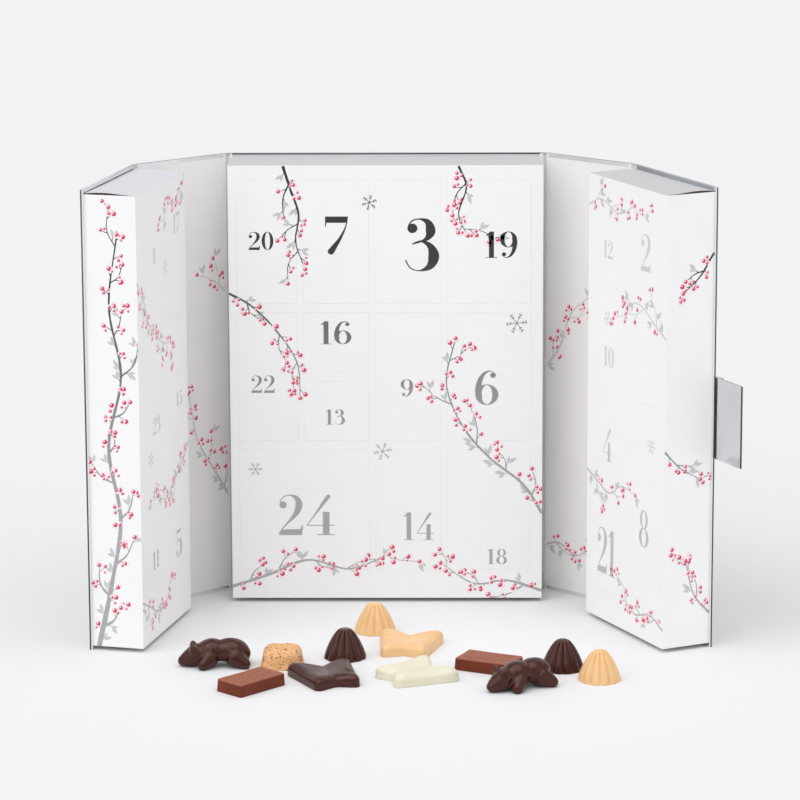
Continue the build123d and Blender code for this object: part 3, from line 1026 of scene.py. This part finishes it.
for name, first, second in zip(fold_names, panels, panels[1:]):
    fold = name + "_fold"
    fold_strip(fold + "_foil", fold, first, second, foil_reach, foil_depth,
               0.0, case_height, foil)
    fold_strip(fold + "_liner", fold, first, second, lining_reach, lining_depth,
               lining_inset, case_height - lining_inset, liner)
    groove_cap(name + "_cap_low", fold, first, second, cap_inset)
    groove_cap(name + "_cap_high", fold, first, second, case_height - cap_inset - cap_thickness)

# Creases where the foil turns over a rim, drawn as fine dark lines: painted dark reflection off the turned
# foil, and painted shade in the gaps beside the lids.
bead_sides = 12
bead_squareness = 0.3
crease_height = 0.06
crease_inset = 0.05
edge_depth = 0.6
edge_half_width = 0.55
rim_depth = 1.0


def crease(name, body, start, end, side, half_width, half_height, mat):
    """Slim flat bead along a rim, its own edges rounded."""
    lift = (end - start).cross(side).normalized()
    points = []
    for place in (start, end):
        for step in range(bead_sides):
            angle = 2 * pi * (step + 0.5) / bead_sides
            across = copysign(abs(cos(angle)) ** bead_squareness, cos(angle))
            rise = copysign(abs(sin(angle)) ** bead_squareness, sin(angle))
            points.append(place + (side * half_width * across + lift * half_height * rise) * MM)
    bead = new_object(name, points, tube_faces(bead_sides, 2), [mat], smooth=True)
    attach(bead, body)


def rim_crease(name, panel, height, depth, half_width, half_height, mat):
    """Crease along a panel at a height, depth in from its outer face."""
    start = panel.at(panel_thickness, height, depth)
    end = panel.at(panel.width - panel_thickness, height, depth)
    crease(name, panel.body, start, end, panel.out, half_width, half_height, mat)


for panel, depth, half_width, mat in (
    (back, rim_depth, 0.9, shade_and_reflection_crease),
    (left_spine, edge_depth, edge_half_width, shade_and_reflection_crease),
    (right_spine, edge_depth, edge_half_width, shade_and_reflection_crease),
    (left_cover, rim_depth, 0.95, pale_rim),
    (right_cover, rim_depth, 0.95, rim_grey),
):
    for end, height in (("bottom", crease_inset), ("top", case_height - crease_inset)):
        name = "%s_%s_crease" % (panel.name, end)
        rim_crease(name, panel, height, depth, half_width, crease_height, mat)

# Strips on the inner faces, their middles given down from the top: painted shade in the gaps by the lids,
# and the turned-in foil in a painted darker tone.
for name, panel, middle, half_height, mat in (
    ("back_inner_crease", back, 0.5, 0.42, shade_and_reflection_crease),
    ("left_cover_lid_shadow", left_cover, 2.2, 0.35, shade_and_reflection_crease),
    ("right_cover_turned_foil", right_cover, 1.35, 1.25, rim_grey),
):
    rim_crease(name, panel, case_height - middle, panel_thickness, strip_lift, half_height, mat)

for panel, place in ((left_cover, crease_inset), (right_cover, cover_width - crease_inset)):
    crease(panel.name + "_edge_crease", panel.body, panel.at(place, 0, edge_depth),
           panel.at(place, case_height, edge_depth), panel.out, edge_half_width, crease_height, shade_and_reflection_crease)

# Closing tab's rim, and the foil that hinges it along the outer side of its anchor
tab_length = 30.5
tab_height = 52.3
tab_middle_share = 0.504
tab_thickness = 1.5
tab_rim_share = 0.42
tab_gap = 0.15
tab_strip_reach = 4.0
tab_low = tab_middle_share * case_height - tab_height / 2
tab_high = tab_low + tab_height
tab_end = cover_width + tab_length
tab_depth = tab_gap + tab_thickness / 2
tab_corner = right_cover.at(cover_width, tab_low)
tab = Face("closing_tab", "closing_tab", tab_corner, right_cover.across, tab_length, tab_height)


def tab_strip_depth(reach):
    """The hinging foil lies on the outer side of the anchor and the tab."""
    return -(tab_gap + tab_thickness + strip_lift)


crease("closing_tab_end_crease", tab.body, right_cover.at(tab_end, tab_low, -tab_depth),
       right_cover.at(tab_end, tab_high, -tab_depth), tab.out, tab_thickness * tab_rim_share, crease_height,
       shade_and_reflection_crease)
fold_strip("closing_tab_fold_foil", "closing_tab_fold", right_cover, tab, tab_strip_reach, tab_strip_depth,
           tab_low, tab_high, foil)


# Chocolates standing in front
dome_diameter = 27.0
dome_height = 19.0
dome_ribs = 12
dome_groove = 1.5
dome_groove_foot_share = 0.35
dome_groove_rise = 0.08
dome_groove_fade = 0.10
dome_rib_roundness = 0.7
dome_segments = 288
dome_profile_shares = [
    (0.96, 0.0), (0.995, 0.01), (1.0, 0.04), (0.985, 0.09), (0.945, 0.18), (0.885, 0.30), (0.81, 0.42),
    (0.73, 0.54), (0.645, 0.65), (0.555, 0.755), (0.47, 0.84), (0.395, 0.905), (0.33, 0.95), (0.27, 0.98),
    (0.21, 0.995), (0.14, 1.0), (0.06, 1.0),
]
bar_length = 38.0
bar_width = 21.6
bar_height = 8.0
wave_pitch = 2.6
cross_pitch = 3.4
wave_rise = 0.36
wave_sink = 0.38
wave_fade_share = 0.12
bow_width = 41.0
bow_narrow_width = 27.0
bow_length = 44.0
bow_notch = 6.5
bow_height = 9.0
bow_swell = 1.04
bow_pinch = 0.80
bow_dip = 0.05
bow_dip_reach = 9.0
square_side = 26.0
square_height = 12.0
grain_rise = 0.22
grain_sink = 0.2
grain_scale = 0.55
grain_fade_share = 0.1
foot_bevel = 0.35
edge_steps = 12
corner_rays = 3


def lathe_point(radius, angle, height):
    """Point from a radius and an angle."""
    return Vector((radius * cos(angle), radius * sin(angle), height))


def rings_mesh(rings):
    """Closed mesh through rings of equally many points, from the base to the top."""
    count = len(rings[0])
    points = [point for ring_points in rings for point in ring_points]
    faces = ring_faces(count, len(rings))
    base = len(points)
    top = base - count
    points.append(sum(rings[0], Vector((0, 0, 0))) / count)
    points.append(sum(rings[-1], Vector((0, 0, 0))) / count)
    for index in range(count):
        ahead = (index + 1) % count
        faces.append((base, ahead, index))
        faces.append((base + 1, top + index, top + ahead))
    return points, faces


def dome_mesh():
    """Dome with rounded ribs that run together at a small button on top."""
    rings = []
    for place in smooth_line([(radius, height, 0) for radius, height in dome_profile_shares], 4):
        groove = dome_groove * min(1, dome_groove_foot_share + place.y / dome_groove_rise)
        groove *= min(1, max(0, (1 - place.y) / dome_groove_fade))
        ring_points = []
        for angle in turns(dome_segments):
            lobe = abs(sin(dome_ribs / 2 * angle)) ** dome_rib_roundness
            radius = dome_diameter / 2 * place.x - groove * (1 - lobe)
            ring_points.append(lathe_point(radius, angle, dome_height * place.y))
        rings.append(ring_points)
    return rings_mesh(rings)


def outline_reach(corners, angle, rounding):
    """How far a ray from the middle goes to a closed outline, softened at its corners."""
    total = 0.0
    weight = 0.0
    for offset in range(-corner_rays, corner_rays + 1):
        ray = Vector((cos(angle + offset * rounding), sin(angle + offset * rounding)))
        reaches = []
        for first, second in zip(corners, corners[1:] + corners[:1]):
            side = second - first
            bottom = ray.cross(side)
            if abs(bottom) < 1e-9:
                continue
            if -0.0001 <= first.cross(ray) / bottom <= 1.0001:
                reaches.append(first.cross(side) / bottom)
        share = 1 - abs(offset) / (corner_rays + 1)
        total += max(reaches) * share
        weight += share
    return total / weight


def moulded_mesh(corners, height, edge, draft, rounding, segments, inner_rings, crown=0.0, spread=1.0,
                 relief=lambda x, y, share: 0.0, height_share=lambda x, y: 1.0):
    """Moulded piece from an outline: drafted sides, a rounded edge and a top with relief.

    spread is how many times as far the rounded edge reaches inwards as it rises."""
    angles = turns(segments)
    reaches = [outline_reach(corners, angle, rounding) for angle in angles]
    levels = [(foot_bevel, 0.0)]
    for share in (0.02, 0.12, 0.35, 0.65, 0.9):
        levels.append((draft * share, (height - edge) * share))
    for step in range(1, edge_steps + 1):
        turn = pi / 2 * step / edge_steps
        levels.append((draft + edge * spread * (1 - cos(turn)), height - edge + edge * sin(turn)))
    rings = [
        [lathe_point(reach - inset, angle, level) for reach, angle in zip(reaches, angles)]
        for inset, level in levels
    ]
    for step in range(1, inner_rings):
        share = step / inner_rings
        ring_points = []
        for reach, angle in zip(reaches, angles):
            point = lathe_point((reach - draft - edge * spread) * (1 - share), angle, height)
            point.z += crown * sin(pi / 2 * share) + relief(point.x, point.y, share)
            ring_points.append(point)
        rings.append(ring_points)
    for ring_points in rings:
        for point in ring_points:
            point.z *= height_share(point.x, point.y)
    return rings_mesh(rings)


def bar_mesh():
    """Bar with fine waved lines pressed across its top."""
    corners = box_outline(-bar_length / 2, bar_length / 2, -bar_width / 2, bar_width / 2)

    def relief(x, y, share):
        wave = sin(2 * pi * (x + 0.7 * sin(y * 0.9)) / wave_pitch)
        cross = sin(2 * pi * y / cross_pitch + 1.2 * sin(x * 0.5))
        lines = wave_rise * wave * (0.6 + 0.4 * cross)
        return min(1, share / wave_fade_share) * (lines - wave_sink)

    return moulded_mesh(corners, bar_height, edge=0.9, draft=0.5, rounding=0.012,
                        segments=360, inner_rings=60, relief=relief)


def bow_mesh():
    """Puffed bow, pinched to a small dip in the middle."""
    reach = bow_length / 2
    broad = bow_width / 2
    narrow = bow_narrow_width / 2
    corners = outline((-broad, reach), (-narrow, -reach), (0, bow_notch - reach),
                      (narrow, -reach), (broad, reach), (0, reach - 1.4 * bow_notch))
    corners = [corner * bow_swell for corner in corners]

    def pinched_share(x, y):
        far = min(1.0, hypot(x, y) / (0.6 * bow_length))
        dip = bow_dip * (1 - min(1.0, abs(x) / bow_dip_reach)) ** 2
        return bow_pinch + (1 - bow_pinch) * far ** 1.6 - dip

    return moulded_mesh(corners, bow_height, edge=4.8, draft=0.3, rounding=0.055,
                        segments=240, inner_rings=30, spread=1.8, height_share=pinched_share)


def square_mesh():
    """Soft square with a grainy top."""
    half = square_side / 2
    corners = box_outline(-half, half, -half, half)

    def relief(x, y, share):
        grain = noise.noise(Vector((x * grain_scale, y * grain_scale, 3.0)))
        return grain_rise * grain * min(1, share / grain_fade_share) - grain_sink

    return moulded_mesh(corners, square_height, edge=5.6, draft=1.3, rounding=0.16,
                        segments=240, inner_rings=40, crown=0.5, relief=relief)


# Bear: place forward, height and radius along its body; limbs and ears from root to tip, with both radii
bear_body_mm = [
    (17.4, 7.8, 5.6), (13.4, 9.4, 8.0), (9.0, 9.9, 8.3), (3.6, 9.6, 7.0), (-1.6, 9.9, 8.3), (-6.2, 8.6, 7.2),
    (-10.6, 7.4, 7.2), (-14.2, 5.8, 6.1), (-17.4, 4.4, 4.7), (-19.5, 3.5, 3.6),
]
bear_limbs_mm = [
    ((-3.0, 5.0, 6.4), (-7.0, 9.4, 3.0), 5.8, 3.8), ((13.0, 5.2, 6.6), (19.0, 8.6, 3.0), 6.2, 3.6),
    ((-12.0, 4.2, 9.4), (-13.4, 5.2, 13.6), 4.0, 1.6),
]
bear_girth = 1.04
bear_flatness = 0.92
limb_steps = 7
bear_melt = 0.55
bear_smoothing = 0.6


def bear_balls():
    """Balls that make up a lying bear: centre and radii."""
    balls = []
    for forward, level, radius in smooth_line(bear_body_mm, 4):
        balls.append(((forward, 0, level), (radius, radius * bear_girth, radius * bear_flatness)))
    for root, tip, wide, slim in bear_limbs_mm:
        for side in (-1, 1):
            for step in range(limb_steps + 1):
                share = step / limb_steps
                x, y, z = Vector(root).lerp(Vector(tip), share)
                balls.append(((x, side * y, z), [wide + (slim - wide) * share] * 3))
    return balls


def ball_mesh(center, radii, levels=18, segments=26):
    """Ellipsoid as points and faces."""
    middle = Vector(center)
    scale = Vector(radii)
    tilts = [pi * level / levels for level in range(1, levels)]
    return rings_mesh([
        [middle + scale * lathe_point(sin(tilt), angle, -cos(tilt)) for angle in turns(segments)]
        for tilt in tilts
    ])


def bear_object(name, mat):
    """Lying bear, melted together from rounded forms and smoothed."""
    points = []
    faces = []
    for center, radii in bear_balls():
        ball, ball_faces = ball_mesh(center, radii)
        start = len(points)
        points.extend(point * MM for point in ball)
        faces.extend(tuple(start + index for index in face) for face in ball_faces)
    bear = new_object(name, points, faces, [mat])
    melt = bear.modifiers.new("melt", "REMESH")
    melt.mode = "VOXEL"
    melt.voxel_size = bear_melt * MM
    soften = bear.modifiers.new("soften", "SMOOTH")
    soften.factor = bear_smoothing
    soften.iterations = 10
    apply_modifiers(bear)
    for vertex in bear.data.vertices:
        vertex.co.z = max(0.0, vertex.co.z)
    for polygon in bear.data.polygons:
        polygon.use_smooth = True
    return bear


mesh_makers = {"dome": dome_mesh, "bar": bar_mesh, "bow": bow_mesh, "square": square_mesh}


def set_out(slot_name, mat, places):
    """Detailed chocolates in the places of one CAD node's solids; the square has crumbs on it.

    Each place is across and forward in millimetres, and a turn in degrees."""
    node_name = slot_name + "s"
    for index, (kind, across, forward, turn) in enumerate(places):
        name = "%s_%s_%d" % (node_name, kind, index + 1)
        finish = speckled if kind == "square" else mat
        if kind == "bear":
            piece = bear_object(name, finish)
        else:
            points, faces = mesh_makers[kind]()
            piece = new_object(name, [point * MM for point in points], faces, [finish], smooth=True)
        place = Matrix.Translation((across * MM, forward * MM, 0)) @ Matrix.Rotation(radians(turn), 4, "Z")
        piece.data.transform(place)
        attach(piece, "case_back")
        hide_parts(node_name)


set_out("dark_chocolate", dark_chocolate, [
    ("bear", -106.05, -183.99, 4), ("bow", -34.02, -215.94, 20), ("dome", -24.57, -166.04, 0),
    ("bear", 84.0, -231.91, 31), ("dome", 111.93, -190.99, 0),
])
set_out("milk_chocolate", milk_chocolate, [("bar", -80.64, -232.90, 46.5), ("bar", 65.94, -192.07, -25)])
set_out("caramel_chocolate", caramel_chocolate, [
    ("dome", -6.72, -105.73, 0), ("bow", 14.91, -147.01, -8), ("dome", 133.98, -214.32, 0),
])
set_out("white_chocolate", white_chocolate, [("square", -63.42, -183.0, 0), ("bow", 19.95, -211.0, -59)])


# Floor, light and camera
floor_reach = 15000.0
floor_corners = box_outline(-floor_reach, floor_reach, -floor_reach, floor_reach)
floor_look = Look("floor", (0.78, 0.785, 0.80), 0.85)
floor = new_object(
    "floor", [corner.to_3d() * MM for corner in floor_corners], [(0, 1, 2, 3)], [floor_look.material])

world = bpy.data.worlds.new("studio")
bpy.context.scene.world = world
world.use_nodes = True
sky = world.node_tree.nodes["Background"]
sky.inputs["Color"].default_value = (1.0, 1.0, 1.0, 1)
sky.inputs["Strength"].default_value = 0.555


def soft_sun(name, toward, angle, power):
    """Broad even lamp shining from a direction."""
    data = bpy.data.lights.new(name, "SUN")
    data.angle = radians(angle)
    data.energy = power
    lamp = bpy.data.objects.new(name, data)
    bpy.context.collection.objects.link(lamp)
    lamp.rotation_euler = Vector(toward).to_track_quat("Z", "Y").to_euler()


soft_sun("above", (0.0, -0.25, 1.0), 60, 1.17)
soft_sun("left", (-0.9, -0.55, 0.9), 60, 0.80)
soft_sun("right", (0.9, -0.55, 0.6), 60, 0.28)
soft_sun("front", (-0.1, -1.0, 0.6), 12, 0.14)

focal_px = 3805.86
picture_px = 800.0
camera_place_mm = (39.65, -2475.48, 680.02)
camera_forward = Vector((-0.01226, 0.97608, -0.21709)).normalized()
camera_roll = radians(-0.206)

camera_data = bpy.data.cameras.new("camera")
camera_data.sensor_fit = "HORIZONTAL"
camera_data.sensor_width = 36.0
camera_data.lens = focal_px / picture_px * camera_data.sensor_width
camera_data.clip_end = 100.0
camera = bpy.data.objects.new("camera", camera_data)
bpy.context.collection.objects.link(camera)
level_right = Vector((camera_forward.y, -camera_forward.x, 0)).normalized()
level_above = level_right.cross(camera_forward)
camera_right = level_right * cos(camera_roll) + level_above * sin(camera_roll)
camera_above = level_above * cos(camera_roll) - level_right * sin(camera_roll)
camera_axes = Matrix((camera_right, camera_above, -camera_forward)).transposed().to_4x4()
camera.matrix_world = Matrix.Translation(Vector(camera_place_mm) * MM) @ camera_axes
bpy.context.scene.camera = camera
bpy.context.scene.view_settings.view_transform = "Standard"
